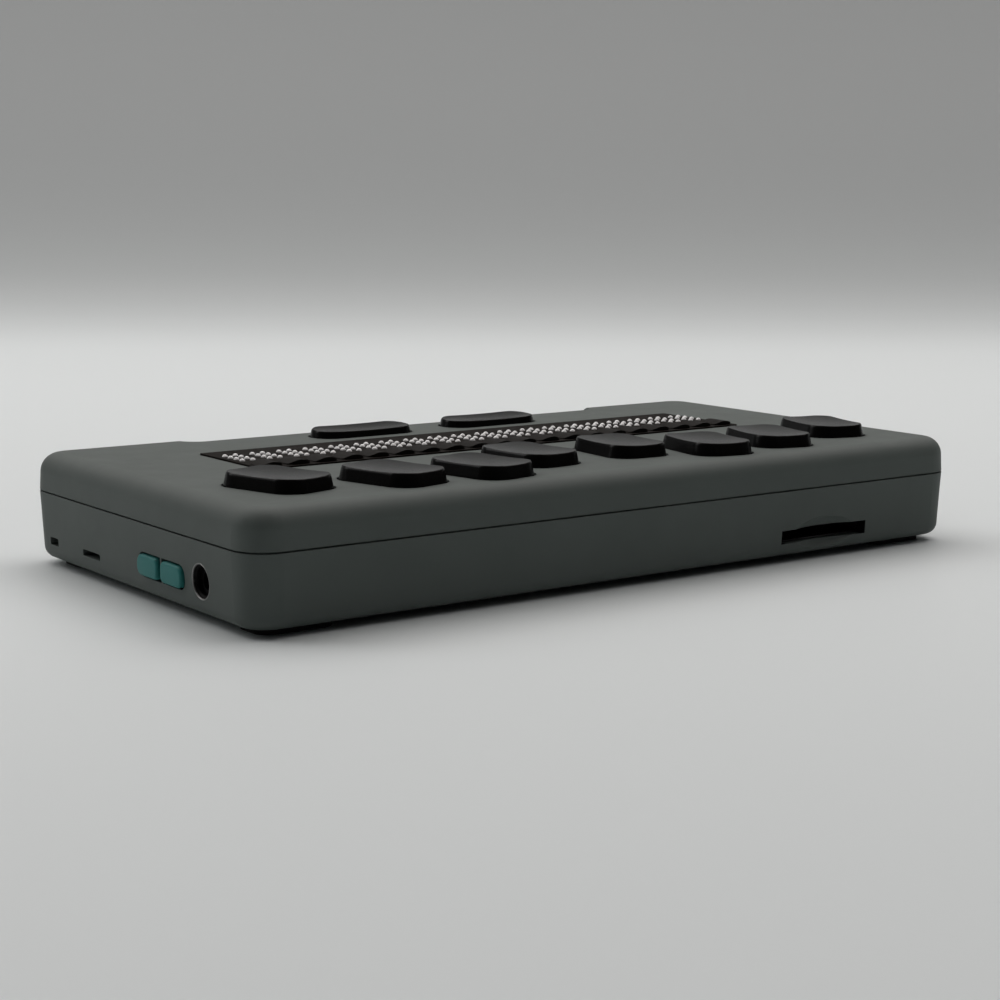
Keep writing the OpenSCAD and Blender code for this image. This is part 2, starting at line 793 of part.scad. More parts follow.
// Plan of the main board: behind the battery and along both side walls
module main_plan() {
  inner = window_w / 2 + board_edge;
  difference() {
    rounded_rect(in_w - 2 * board_edge, in_d - 2 * board_edge, max(in_r - board_edge, 1));
    translate([-inner, -body_d]) square([2 * inner, body_d + window_rear + 3 * board_edge]);
    at_bosses() circle(boss_clear);
    for (p = concat(key_posts, rear_posts)) translate(p) circle(post_hole_r);
    translate([edge_wall - jack_l - notch_gap, jack_y - jack_w / 2 - notch_gap])
      square([jack_l + 2 * past, jack_w + 2 * notch_gap]);
    translate([-body_w, usb_a_y - usb_a_w / 2 - notch_gap])
      square([body_w - usb_a_back + notch_gap, usb_a_w + 2 * notch_gap]);
    for (y = [volume_up_y, volume_down_y]) button_notch(y, volume_l);
    mirror([1, 0]) button_notch(power_y, power_l);
  }
}

module edge_switch(y) {
  translate([edge_switch_x - side_switch[0], y - side_switch[1] / 2, main_top - eps]) cube(side_switch);
}

module main_board() {
  color(board_colour) {
    translate([0, 0, main_z]) linear_extrude(board_t) main_plan();
    edge_switch(volume_up_y);
    edge_switch(volume_down_y);
    mirror([1, 0, 0]) edge_switch(power_y);
    // processor, memory and power chips
    for (chip = chips)
      translate([chip[0] - chip[2] / 2, chip[1] - chip[2] / 2, main_top - eps])
        cube([chip[2], chip[2], part_h + eps]);
  }
}

module keyboard_board() {
  front = -in_d / 2 + 2 * board_edge;
  rear = boss_y - boss_r;
  hole_y = [window_front - board_edge / 2, window_rear + board_edge / 2];
  color(board_colour) {
    translate([0, 0, key_board_z]) linear_extrude(board_t) difference() {
      translate([0, (front + rear) / 2]) rounded_rect(in_w - 4 * board_edge, rear - front, 2);
      translate([0, (hole_y[0] + hole_y[1]) / 2])
        square([window_w + board_edge, hole_y[1] - hole_y[0]], center = true);
      at_bosses() circle(boss_clear);
    }
    translate([0, 0, key_board_top - eps]) {
      for (k = [1:DOTS]) at_key(k) cylinder(switch_h + eps, r = switch_r);
      for (side = [-1, 1]) translate([side * bar_x, bar_y, 0]) cylinder(switch_h + eps, r = switch_r);
    }
    for (x = [-page_x, -arrow_x, 0, arrow_x, page_x])
      translate([x - thumb_switch_w / 2, -thumb_switch_y, thumb_switch_z])
        cube([thumb_switch_w, thumb_switch_d, key_board_z + eps - thumb_switch_z]);
  }
}

module cell_board() {
  front = window_front + window_gap;
  color(board_colour) translate([-line_w / 2, front, cell_board_z])
    cube([line_w, reed_rear - front, board_t]);
}

// One braille cell: a cap with eight pin bores and a button pocket, on a frame of bending reeds
module braille_cell(i) {
  front = window_front + window_gap;
  block_d = 11;
  clamp_d = 9;
  reed_t = 0.45;
  level = (cell_top - cell_base) / 4;
  difference() {
    union() {
      intersection() {
        translate([cell_x(i) - cell_w / 2, front, cell_top - eps])
          cube([cell_w, cap_d, strip_z - cell_top + eps]);
        translate([0, window_y, 0])
          rounded_block(line_w, cap_d, window_r - window_gap,
                        cell_top - past, strip_z - cell_top + 2 * past);
      }
      translate([cell_x(i) - cell_w / 2, front + window_r, cell_base])
        cube([cell_w, block_d, cell_top - cell_base]);
      translate([cell_x(i) - cell_w / 2, reed_rear - clamp_d, cell_base])
        cube([cell_w, clamp_d, cell_top - cell_base]);
      for (n = [0:3])
        translate([cell_x(i) - cell_w / 2 + soft_edge, front + window_r, cell_base + (n + 0.5) * level])
          cube([cell_w - 2 * soft_edge, reed_rear - front - window_r - eps, reed_t]);
    }
    for (k = [1:DOTS])
      at_dot(i, k) translate([0, 0, pin_floor])
        cylinder(strip_z - pin_floor + past, d = pin_d + 2 * pin_gap);
    translate([cell_x(i), route_y, 0]) {
      rounded_block(route_w + 2 * route_play, route_d + 2 * route_play, route_r + route_play,
                    route_floor, strip_z - route_floor + past);
      translate([-route_w / 2, -route_d / 2 - route_flange - route_play, route_floor])
        cube([route_w, route_d + 2 * route_flange + 2 * route_play,
              route_z + route_flange_t + seat_gap - route_floor]);
    }
  }
}

module braille_cells() {
  color(cell_colour) for (i = [0:CELLS - 1]) braille_cell(i);
}

module at_dot(i, k) {
  column = DOT_SIDE[k - 1] / 2;
  row = DOT_COLUMN[k - 1] - 1.5;
  translate([cell_x(i) + column * dot_pitch, dot_y + row * dot_pitch, 0]) children();
}

// A pin with a domed tip, raised
module pin() {
  shoulder = strip_z + dot_h - pin_d / 2;
  rotate_extrude() intersection() {
    union() {
      translate([0, pin_z]) square([pin_d / 2, shoulder - pin_z]);
      translate([0, shoulder]) circle(pin_d / 2);
    }
    translate([0, pin_z]) square([pin_d, strip_z + dot_h - pin_z]);
  }
}

// The twenty pins of one dot number, one in each cell
module dot_pins(k) {
  color(pin_colour) for (i = [0:CELLS - 1]) at_dot(i, k) pin();
}

// A hollow through the four upper corners of a w by l top, rounder along x than along y. shift moves
// its lowest place along x
module dish(w, l, crest, depth, shift) {
  long_r = l * l / (4 * depth);
  short_r = w * w / (4 * depth);
  translate([shift, 0, crest - depth + long_r]) rotate([0, 90, 0])
    rotate_extrude($fn = fine) translate([long_r - short_r, 0]) circle(short_r, $fn = fine);
}

module key_form(w, l, r, h, rim_flange, stem_z, shift = 0) {
  crest = top_z + h;
  difference() {
    union() {
      sweep_rect(w, l, r, flange_z, crest)
        cap_profile(r, flange_z, top_z, crest, key_lean, key_edge, rim_flange, flange_t);
      translate([0, 0, stem_z]) cylinder(flange_z - stem_z + eps, r = plunger_r);
    }
    dish(w, l, crest, key_dish, shift);
  }
}

module braille_key(k) {
  color(key_colour) at_key(k) key_form(key_w, key_l, key_r, key_h, flange, plunger_z);
}

module space_bar(side) {
  color(key_colour) translate([side * bar_x, bar_y, 0]) {
    rotate([0, 0, 90]) key_form(bar_d, bar_w, bar_r, bar_h, 0, bar_plunger_z, bar_low);
    for (end = [-1, 1])
      translate([end * bar_w / 2 - bar_flange, -bar_tab / 2, flange_z])
        cube([2 * bar_flange, bar_tab, flange_t]);
  }
}

// A routing button with a top crowned from left to right
module routing_button(i) {
  crest = strip_z + route_h;
  color(cell_colour) translate([cell_x(i), route_y, 0]) {
    intersection() {
      rounded_block(route_w, route_d, route_r, route_z, crest - route_z);
      on_front() translate([0, crest - route_crown_r, 0])
        cylinder(2 * route_d, r = route_crown_r, center = true);
    }
    translate([-route_w / 2 + route_play, -route_d / 2 - route_flange, route_z])
      cube([route_w - 2 * route_play, route_d + 2 * route_flange, route_flange_t]);
  }
}

module thumb_stem(x) {
  translate([x, thumb_plunger_z, thumb_plunger_y]) cylinder(stem_h + soft_edge, r = stem_r);
}

module thumb_profile(r) {
  cap_profile(r, thumb_base, thumb_wall + past, thumb_face, small_lean, soft_edge, flange, flange_t);
}

module thumb_key(x, w) {
  color(key_colour) on_front() {
    translate([x, thumb_z, 0]) sweep_rect(w, thumb_h, thumb_r, thumb_base, thumb_face)
      thumb_profile(thumb_r);
    thumb_stem(x);
  }
}

module home_key() {
  color(key_colour) on_front() {
    translate([0, thumb_z, 0]) rotate_extrude()
      thumb_profile(home_d / 2);
    thumb_stem(0);
  }
}

// Inner end of an edge button: a flange behind the wall and a stem for the switch
module edge_back(y, l) {
  on_side() translate([y, edge_z, edge_base]) linear_extrude(flange_t)
    square([l + flange, edge_h + 2 * flange], center = true);
  on_side() translate([y, edge_plunger_z, edge_plunger_x])
    cylinder(stem_h + soft_edge, r = stem_r);
}

module volume_button(y, dir) {
  base = edge_wall - seat_gap - eps;
  color(teal) {
    intersection() {
      on_side() translate([y - dir * volume_r, edge_z, 0])
        sweep_rect(volume_l + 2 * volume_r, edge_h, volume_r, base, edge_face)
          cap_profile(volume_r, base, face_x(edge_z), edge_face, small_lean, soft_edge);
      translate([0, y - volume_l / 2, 0]) cube([body_w, volume_l, seam_z]);
    }
    edge_back(y, volume_l);
  }
}

module power_button() {
  base = edge_wall - seat_gap - eps;
  color(key_colour) mirror([1, 0, 0]) {
    on_side() translate([power_y, edge_z, 0])
      sweep_rect(power_l, edge_h, volume_r, base, edge_face)
        cap_profile(volume_r, base, face_x(edge_z), edge_face, small_lean, soft_edge);
    edge_back(power_y, power_l);
  }
}

module audio_jack() {
  color([0.08, 0.08, 0.08]) difference() {
    union() {
      translate([edge_wall - jack_l, jack_y - jack_w / 2, jack_z - jack_h / 2])
        cube([jack_l - seat_gap, jack_w, jack_h]);
      on_side() translate([jack_y, jack_z, edge_wall - past])
        cylinder(face_x(jack_z) - edge_wall + past - jack_inset, d = jack_hole - 2 * stop_gap);
    }
    on_side() translate([jack_y, jack_z, edge_wall - jack_l + past])
      cylinder(jack_l + 4 * past, d = jack_bore);
  }
}

// A port: a bent metal tube with a contact tongue, its mouth set back in the left wall
module port(w, h, l, r, tongue_t, y, z) {
  mouth = face_x(z) - port_inset;
  on_side() translate([y, z, mouth - l]) {
    linear_extrude(l) difference() {
      rounded_rect(w, h, r);
      rounded_rect(w - 2 * port_wall, h - 2 * port_wall, max(r - port_wall, 0.1));
    }
    linear_extrude(port_back) rounded_rect(w, h, r);
    translate([-w * tongue_w / 2, -tongue_t / 2, past]) cube([w * tongue_w, tongue_t, l * tongue_l]);
  }
}

module usb_ports() {
  color(metal) mirror([1, 0, 0]) {
    port(usb_a_w, usb_a_h, usb_a_l, soft_edge, usb_a_tongue, usb_a_y, usb_a_z);
    port(usb_c_w, usb_c_h, usb_c_l, usb_c_h / 2 - eps, usb_c_tongue, usb_c_y, usb_c_z);
  }
}

module sd_card_socket() {
  rear = in_d / 2 - seat_gap;
  color(metal) translate([slot_x, rear - socket_d, slot_z - socket_h / 2]) difference() {
    translate([-socket_w / 2, 0, 0]) cube([socket_w, socket_d, socket_h]);
    translate([-card_w / 2, port_wall * 4, (socket_h - card_t) / 2]) cube([card_w, socket_d, card_t]);
  }
}

module speaker() {
  h = main_z - floor_z - notch_gap;
  color([0.1, 0.1, 0.11]) difference() {
    translate([edge_wall - notch_gap - speaker_t, speaker_y - speaker_l / 2, floor_z])
      cube([speaker_t, speaker_l, h]);
    on_side() translate([speaker_y, speaker_z, edge_wall - notch_gap - past])
      linear_extrude(2 * past)
        rounded_rect(speaker_l - 2 * speaker_rim, speaker_slot_h + soft_edge, soft_edge);
  }
}

bottom_case();
top_cover();
battery_door();
battery();
screws();
rubber_feet();
main_board();
keyboard_board();
cell_board();
braille_cells();
audio_jack();
usb_ports();
sd_card_socket();
speaker();
for (k = [1:DOTS]) braille_key(k);
space_bar(-1);  // left_space_bar
space_bar(1);  // right_space_bar
for (k = [1:DOTS]) dot_pins(k);
for (i = [1:CELLS])
  routing_button(i - 1);
thumb_key(-page_x, page_w);  // thumb_key_previous
thumb_key(-arrow_x, arrow_w);  // thumb_key_left
home_key();  // thumb_key_home
thumb_key(arrow_x, arrow_w);  // thumb_key_right
thumb_key(page_x, page_w);  // thumb_key_next
volume_button(volume_up_y, 1);  // volume_up_button
volume_button(volume_down_y, -1);  // volume_down_button
power_button();
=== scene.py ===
"""Looks of the braille display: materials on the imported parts, small trim, studio and camera.

Metres, in the part's own frame: +X the user's right, +Y the rear, +Z up, the table at Z = 0.
"""

import math

import bmesh
import bpy
from mathutils import Matrix, Vector


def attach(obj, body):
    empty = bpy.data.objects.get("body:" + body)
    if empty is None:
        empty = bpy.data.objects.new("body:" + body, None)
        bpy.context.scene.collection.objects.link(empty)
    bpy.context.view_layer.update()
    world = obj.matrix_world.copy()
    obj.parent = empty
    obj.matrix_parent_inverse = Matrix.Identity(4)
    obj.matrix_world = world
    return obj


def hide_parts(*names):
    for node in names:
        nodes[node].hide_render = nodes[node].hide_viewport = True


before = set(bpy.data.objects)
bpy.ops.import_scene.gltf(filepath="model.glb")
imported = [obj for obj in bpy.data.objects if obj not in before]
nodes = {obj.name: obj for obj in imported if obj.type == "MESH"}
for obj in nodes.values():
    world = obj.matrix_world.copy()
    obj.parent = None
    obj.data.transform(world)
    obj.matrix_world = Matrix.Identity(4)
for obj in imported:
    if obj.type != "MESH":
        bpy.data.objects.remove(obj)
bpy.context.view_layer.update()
scene = bpy.context.scene
scene.view_settings.view_transform = "Standard"
MM = 0.001


# Shader helpers

# Part of a noise texture's range that is stretched to the range asked for
NOISE_RANGE = (0.3, 0.7)
# Agreement of the rounded and the true normal, from an edge that gets the painted highlight to a
# flat face
EDGE_RANGE = (0.80, 0.99)


def new_material(name):
    mat = bpy.data.materials.new(name)
    mat.use_nodes = True
    tree = mat.node_tree
    return mat, tree, tree.nodes["Principled BSDF"]


def add(tree, kind, **sockets):
    """A shader node with the named input sockets set."""
    node = tree.nodes.new(kind)
    for name, value in sockets.items():
        node.inputs[name.replace("_", " ")].default_value = value
    return node


def noise(tree, scale, detail=2.0, roughness=0.5):
    """A noise value, its scale in waves per metre of the piece."""
    coord = tree.nodes.new("ShaderNodeTexCoord")
    tex = add(tree, "ShaderNodeTexNoise", Scale=scale, Detail=detail, Roughness=roughness)
    tree.links.new(coord.outputs["Object"], tex.inputs["Vector"])
    return tex.outputs["Fac"]


def spread(tree, fac, low, high, source=NOISE_RANGE):
    """Maps a value from the source range to the range from low to high."""
    node = add(
        tree, "ShaderNodeMapRange", From_Min=source[0], From_Max=source[1], To_Min=low, To_Max=high
    )
    tree.links.new(fac, node.inputs["Value"])
    return node.outputs["Result"]


def two_tone(tree, fac, a, b):
    """A colour between a and b, each a colour or a socket."""
    mix = tree.nodes.new("ShaderNodeMix")
    mix.data_type = "RGBA"
    for socket in mix.inputs:
        if socket.type == "RGBA":
            end = a if socket.name == "A" else b
            if isinstance(end, tuple):
                socket.default_value = (*end, 1)
            else:
                tree.links.new(end, socket)
    tree.links.new(fac, mix.inputs["Factor"])
    return [s for s in mix.outputs if s.type == "RGBA"][0]


def shade(colour, k):
    return tuple(c * k for c in colour)


def soft_edges(tree, radius_mm):
    """A normal rounded at the edges, and how near an edge a point is, from 0 to 1."""
    rounded = add(tree, "ShaderNodeBevel", Radius=radius_mm * MM)
    rounded.samples = 4
    geometry = tree.nodes.new("ShaderNodeNewGeometry")
    agree = tree.nodes.new("ShaderNodeVectorMath")
    agree.operation = "DOT_PRODUCT"
    tree.links.new(rounded.outputs["Normal"], agree.inputs[0])
    tree.links.new(geometry.outputs["Normal"], agree.inputs[1])
    near = spread(tree, agree.outputs["Value"], 1.0, 0.0, EDGE_RANGE)
    return rounded.outputs["Normal"], near


def bumpy(tree, bsdf, height, strength, depth_mm, normal=None):
    """Bump from a height value, over a given normal where there is one."""
    bump = add(tree, "ShaderNodeBump", Strength=strength, Distance=depth_mm * MM)
    tree.links.new(height, bump.inputs["Height"])
    if normal is not None:
        tree.links.new(normal, bump.inputs["Normal"])
    tree.links.new(bump.outputs["Normal"], bsdf.inputs["Normal"])


# Materials


def plastic(name, colour, roughness, grain_mm, grain, tone, specular, edge_mm, edge_highlight=1.25):
    """Moulded plastic: fine grain, faint flow tone, uneven gloss, and a painted highlight that
    makes the edges a little lighter.
    """
    mat, tree, bsdf = new_material(name)
    normal, near = soft_edges(tree, edge_mm)
    flow = spread(tree, noise(tree, scale=45.0, detail=3.0), 0.0, 1.0)
    body = two_tone(tree, flow, shade(colour, 1 - tone), shade(colour, 1 + tone))
    # painted highlight: the colour near the edges is lightened by this factor
    tree.links.new(two_tone(tree, near, body, shade(colour, edge_highlight)), bsdf.inputs["Base Color"])
    gloss = noise(tree, scale=160.0, detail=4.0, roughness=0.6)
    uneven = spread(tree, gloss, roughness * 0.94, roughness * 1.06)
    tree.links.new(uneven, bsdf.inputs["Roughness"])
    bsdf.inputs["Specular IOR Level"].default_value = specular
    fine = noise(tree, scale=1.0 / (grain_mm * MM), detail=3.0, roughness=0.6)
    bumpy(tree, bsdf, fine, grain, 0.02, normal)
    return mat


def rubber():
    mat, tree, bsdf = new_material("foot_rubber")
    mottle = spread(tree, noise(tree, scale=300.0, detail=4.0), 0.0, 1.0)
    out = two_tone(tree, mottle, (0.010, 0.010, 0.010), (0.022, 0.021, 0.020))
    tree.links.new(out, bsdf.inputs["Base Color"])
    bsdf.inputs["Roughness"].default_value = 0.85
    bsdf.inputs["Specular IOR Level"].default_value = 0.3
    bumpy(tree, bsdf, noise(tree, scale=2200.0, detail=3.0), 0.5, 0.05)
    return mat


def metal(name, colour, roughness):
    """Plated steel with fine drawing lines along X."""
    mat, tree, bsdf = new_material(name)
    coord = tree.nodes.new("ShaderNodeTexCoord")
    mapping = add(tree, "ShaderNodeMapping", Scale=(300.0, 9000.0, 9000.0))
    tree.links.new(coord.outputs["Object"], mapping.inputs["Vector"])
    lines = add(tree, "ShaderNodeTexNoise", Scale=1.0, Detail=2.0)
    tree.links.new(mapping.outputs["Vector"], lines.inputs["Vector"])
    fac = lines.outputs["Fac"]
    out = two_tone(tree, spread(tree, fac, 0.0, 1.0), shade(colour, 0.85), colour)
    tree.links.new(out, bsdf.inputs["Base Color"])
    bsdf.inputs["Metallic"].default_value = 1.0
    uneven = spread(tree, fac, roughness - 0.06, roughness + 0.06)
    tree.links.new(uneven, bsdf.inputs["Roughness"])
    return mat


def board():
    """Solder resist over faint copper tracks."""
    mat, tree, bsdf = new_material("board_lacquer")
    coord = tree.nodes.new("ShaderNodeTexCoord")
    tracks = add(
        tree,
        "ShaderNodeTexBrick",
        Scale=260.0,
        Color1=(0.010, 0.070, 0.040, 1),
        Color2=(0.012, 0.085, 0.048, 1),
        Mortar=(0.020, 0.130, 0.070, 1),
    )
    tree.links.new(coord.outputs["Object"], tracks.inputs["Vector"])
    tree.links.new(tracks.outputs["Color"], bsdf.inputs["Base Color"])
    bsdf.inputs["Roughness"].default_value = 0.3
    return mat


def wrap():
    mat, tree, bsdf = new_material("battery_wrap")
    mottle = spread(tree, noise(tree, scale=120.0, detail=4.0), 0.0, 1.0)
    out = two_tone(tree, mottle, (0.030, 0.036, 0.048), (0.050, 0.056, 0.066))
    tree.links.new(out, bsdf.inputs["Base Color"])
    bsdf.inputs["Roughness"].default_value = 0.35
    return mat


HOUSING = (0.098, 0.114, 0.107)
KEY = (0.0055, 0.0053, 0.0052)
CELL = (0.0095, 0.0075, 0.0060)
ROUTING = shade(CELL, 0.8)
TEAL = (0.020, 0.180, 0.171)
PIN = (0.95, 0.95, 0.94)
BLACK = (0.003, 0.003, 0.003)
LENS = (0.55, 0.57, 0.55)

housing_mat = plastic(
    "housing_plastic", HOUSING, 0.60,
    grain_mm=0.30, grain=0.35, tone=0.04, specular=0.25, edge_mm=0.20,
)
key_mat = plastic(
    "key_plastic", KEY, 0.23,
    grain_mm=0.20, grain=0.05, tone=0.10, specular=0.14, edge_mm=0.25,
)
cell_mat = plastic(
    "cell_plastic", CELL, 0.70,
    grain_mm=0.30, grain=0.20, tone=0.10, specular=0.06, edge_mm=0.08,
)
route_mat = plastic(
    "routing_plastic", ROUTING, 0.55,
    grain_mm=0.30, grain=0.18, tone=0.10, specular=0.08, edge_mm=0.20,
)
pin_mat = plastic(
    "pin_plastic", PIN, 0.38,
    grain_mm=0.12, grain=0.10, tone=0.02, specular=0.50, edge_mm=0.05, edge_highlight=1.0,
)
teal_mat = plastic(
    "teal_plastic", TEAL, 0.50,
    grain_mm=0.30, grain=0.20, tone=0.05, specular=0.30, edge_mm=0.30,
)
black_mat = plastic(
    "black_plastic", BLACK, 0.55,
    grain_mm=0.30, grain=0.25, tone=0.10, specular=0.08, edge_mm=0.10,
)
lens_mat = plastic(
    "lens_plastic", LENS, 0.22,
    grain_mm=0.20, grain=0.05, tone=0.03, specular=0.50, edge_mm=0.05, edge_highlight=1.0,
)
gold_mat = metal("contact_gold", (0.78, 0.56, 0.22), 0.25)
board_mat = board()
# nylon pins let light through
pin_shader = pin_mat.node_tree.nodes["Principled BSDF"]
pin_shader.inputs["Subsurface Weight"].default_value = 1.0
pin_shader.inputs["Subsurface Radius"].default_value = (1.0, 1.0, 1.0)
pin_shader.inputs["Subsurface Scale"].default_value = 0.5 * MM

# Nodes that are neither listed here nor named in the loop are keys
by_node = {
    "bottom_case": housing_mat,
    "top_cover": housing_mat,
    "battery_door": housing_mat,
    "battery": wrap(),
    "screws": metal("screw_steel", (0.32, 0.32, 0.33), 0.35),
    "rubber_feet": rubber(),
    "braille_cells": cell_mat,
    "audio_jack": black_mat,
    "usb_ports": metal("port_plating", (0.62, 0.62, 0.63), 0.28),
    "sd_card_socket": metal("socket_plating", (0.06, 0.06, 0.06), 0.45),
    "speaker": black_mat,
}
for name, obj in nodes.items():
    if name.endswith("_board"):
        mat = board_mat
    elif name.endswith("_pins"):
        mat = pin_mat
    elif name.startswith("routing"):
        mat = route_mat
    elif name.startswith("volume"):
        mat = teal_mat
    else:
        mat = by_node.get(name, key_mat)
    obj.data.materials.clear()
    obj.data.materials.append(mat)


# Small trim that the solids leave out. Sizes in millimetres

# Middles of the two data ports in the left wall, as (y, z)
LARGE_PORT = (-28.0, 8.4)
SMALL_PORT = (14.0, 10.0)
# Lean of the outer walls, and height of the buttons and light in the side walls
WALL_SLOPE = 0.0524
EDGE_Z = 7.6

# The tongues in the ports are dark plastic; each as (port, half width, half height, back x)
TONGUES = [(LARGE_PORT, 4.9, 0.91, -77.2), (SMALL_PORT, 3.34, 0.36, -83.3)]
ports = nodes["usb_ports"]
ports.data.materials.append(black_mat)
for face in ports.data.polygons:
    c = ports.matrix_world @ face.center / MM
    for (y, z), half_y, half_z, back in TONGUES:
        if abs(c.y - y) < half_y and abs(c.z - z) < half_z and c.x < back:
            face.material_index = 1


def piece(name, bm, mat, body="housing", smooth_deg=35):
    """A mesh from bm in millimetres, riding on a body."""
    bmesh.ops.remove_doubles(bm, verts=bm.verts, dist=1e-5)
    bmesh.ops.recalc_face_normals(bm, faces=bm.faces)
    bmesh.ops.scale(bm, vec=(MM, MM, MM), verts=bm.verts)
    limit = math.radians(smooth_deg)
    for face in bm.faces:
        face.smooth = True
    for edge in bm.edges:
        edge.smooth = len(edge.link_faces) == 2 and edge.calc_face_angle() < limit
    mesh = bpy.data.meshes.new(name)
    bm.to_mesh(mesh)
    bm.free()
    mesh.materials.append(mat)
    obj = bpy.data.objects.new(name, mesh)
    scene.collection.objects.link(obj)
    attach(obj, body)
    return obj


def skin(bm, loops):
    """Side faces between loops of equally many points, closed by a face at either end."""
    count = len(loops[0])
    for low, high in zip(loops, loops[1:]):
        for k in range(count):
            n = (k + 1) % count
            bm.faces.new((low[k], low[n], high[n], high[k]))
    bm.faces.new(loops[0])
    bm.faces.new(loops[-1])


def lathe(bm, profile, at, axis, sides=48):
    """Turns (radius, height) points about an axis through at."""
    turn = Vector((0, 0, 1)).rotation_difference(Vector(axis))
    rings = []
    for radius, height in profile:
        count = sides if radius > 0 else 1
        ring = []
        for k in range(count):
            a = 2 * math.pi * k / count
            p = Vector((radius * math.cos(a), radius * math.sin(a), height))
            ring.append(bm.verts.new(turn @ p + at))
        rings.append(ring)
    for low, high in zip(rings, rings[1:]):
        for k in range(sides):
            n = (k + 1) % sides
            corners = [
                low[k % len(low)], low[n % len(low)], high[n % len(high)], high[k % len(high)]
            ]
            bm.faces.new(list(dict.fromkeys(corners)))


def bar(bm, outline, at, length):
    """A prism: an outline of (x, z) points, extruded by length along y from at."""
    ends = []
    for y in (0, length):
        ends.append([bm.verts.new((at[0] + x, at[1] + y, at[2] + z)) for x, z in outline])
    skin(bm, ends)


def wire(bm, points, radius, sides=6):
    """A round wire through points, closed at both ends."""
    rings = []
    for k, p in enumerate(points):
        before, after = points[max(k - 1, 0)], points[min(k + 1, len(points) - 1)]
        run = (after - before).normalized()
        u = run.orthogonal().normalized()
        v = run.cross(u)
        ring = []
        for m in range(sides):
            a = 2 * math.pi * m / sides
            ring.append(bm.verts.new(p + radius * (math.cos(a) * u + math.sin(a) * v)))
        rings.append(ring)
    for low, high in zip(rings, rings[1:]):
        # the point nearest to the first one of the ring before starts the next ring
        shift = min(range(sides), key=lambda m: (high[m].co - low[0].co).length)
        for m in range(sides):
            n = (m + 1) % sides
            bm.faces.new((low[m], low[n], high[(n + shift) % sides], high[(m + shift) % sides]))
    bm.faces.new(rings[0])
    bm.faces.new(rings[-1])


# Lens over the status light, its foot inside the left wall
LENS_AT = Vector((-88.25, 2.5, EDGE_Z))
LENS_PROFILE = [
    (0, -0.70), (1.15, -0.70), (1.30, -0.60), (1.30, -0.25), (1.20, -0.15), (0.86, -0.15),
    (0.86, 2.30), (0.82, 2.44), (0.70, 2.54), (0.50, 2.61), (0.25, 2.65), (0, 2.66),
]
lens = bmesh.new()
lathe(lens, LENS_PROFILE, LENS_AT, (-1, 0, 0))
piece("status_lens", lens, lens_mat)

# Spring contacts on the tongues of the two data ports, the small ones scaled from the large
SPRING = [
    (0, 0.02), (-8.0, 0.02), (-8.25, -0.03), (-8.3, -0.08),
    (-8.2, -0.13), (-7.9, -0.14), (-1, -0.14), (0, -0.10),
]
LARGE_OFFSETS = (-3.5, -1.15, 1.15, 3.5)
LARGE_X, LARGE_Z, LARGE_WIDTH = -79.0, 7.5, 1.0
SMALL_COUNT, SMALL_PITCH = 12, 0.5
SMALL_X, SMALL_RISE, SMALL_WIDTH = -84.1, 0.35, 0.28
SMALL_SCALE_X, SMALL_SCALE_Z = 0.58, 0.6
contacts = bmesh.new()
for offset in LARGE_OFFSETS:
    y = LARGE_PORT[0] + offset - LARGE_WIDTH / 2
    bar(contacts, SPRING, (LARGE_X, y, LARGE_Z), LARGE_WIDTH)
piece("large_port_contacts", contacts, gold_mat)
contacts = bmesh.new()
for k in range(SMALL_COUNT):
    y = SMALL_PORT[0] + (k - (SMALL_COUNT - 1) / 2) * SMALL_PITCH - SMALL_WIDTH / 2
    for side in (-1, 1):
        outline = [(x * SMALL_SCALE_X, -side * z * SMALL_SCALE_Z) for x, z in SPRING]
        bar(contacts, outline, (SMALL_X, y, SMALL_PORT[1] + side * SMALL_RISE), SMALL_WIDTH)
piece("small_port_contacts", contacts, gold_mat)

# Plated collar and dark sleeve in the mouth of the headphone jack
JACK_AT = Vector((90.85, 28.6, 8.1))
JACK_SIDES = 64
COLLAR = [
    (3.20, -0.23), (3.20, -0.12), (3.24, -0.02), (3.31, 0.05), (3.40, 0.07), (3.47, 0.05),
    (3.50, 0.01), (3.44, 0.01), (3.20, -0.23),
]
SLEEVE = [
    (2.70, -1.44), (2.70, -0.75), (2.78, -0.60), (3.18, -0.20), (3.19, -0.245), (2.935, -0.50),
    (2.935, -1.44), (2.70, -1.44),
]


def jack_ring(name, profile, mat):
    """A ring round the jack's axis, leaning with the wall."""
    ring = bmesh.new()
    lathe(ring, profile, JACK_AT, (1, 0, 0), JACK_SIDES)
    for v in ring.verts:
        v.co.x += WALL_SLOPE * (v.co.z - JACK_AT.z)
    piece(name, ring, mat)


jack_ring("jack_collar", COLLAR, metal("collar_nickel", (0.25, 0.25, 0.245), 0.46))
jack_ring("jack_sleeve", SLEEVE, black_mat)

# Volume caps with all four ends rounded, in place of the ones that are cut square where they meet.
# Each as (name, middle y, corner radii at its -y and +y ends)
CAPS = [("volume_up", 17.55, (1.3, 1.7)), ("volume_down", 7.75, (1.7, 1.3))]
CAP_HALF_Y, CAP_HALF_Z = 4.25, 2.1
CAP_BASE, CAP_FACE, CAP_SOFT = 88.3, 91.625, 0.55
CAP_STEPS = 8
# Share of the inset that the corner radii lose
CORNER_LOSS = 0.6


def rounded_loop(bm, x, y, z, half_y, half_z, radii):
    """A loop of points round a rectangle; radii are those of its -y and +y ends."""
    loop = []
    for sy, sz, start in ((1, 1, 0), (-1, 1, 90), (-1, -1, 180), (1, -1, 270)):
        r = radii[1] if sy > 0 else radii[0]
        mid_y, mid_z = y + sy * (half_y - r), z + sz * (half_z - r)
        for k in range(CAP_STEPS + 1):
            a = math.radians(start + 90 * k / CAP_STEPS)
            loop.append(bm.verts.new((x, mid_y + r * math.cos(a), mid_z + r * math.sin(a))))
    return loop


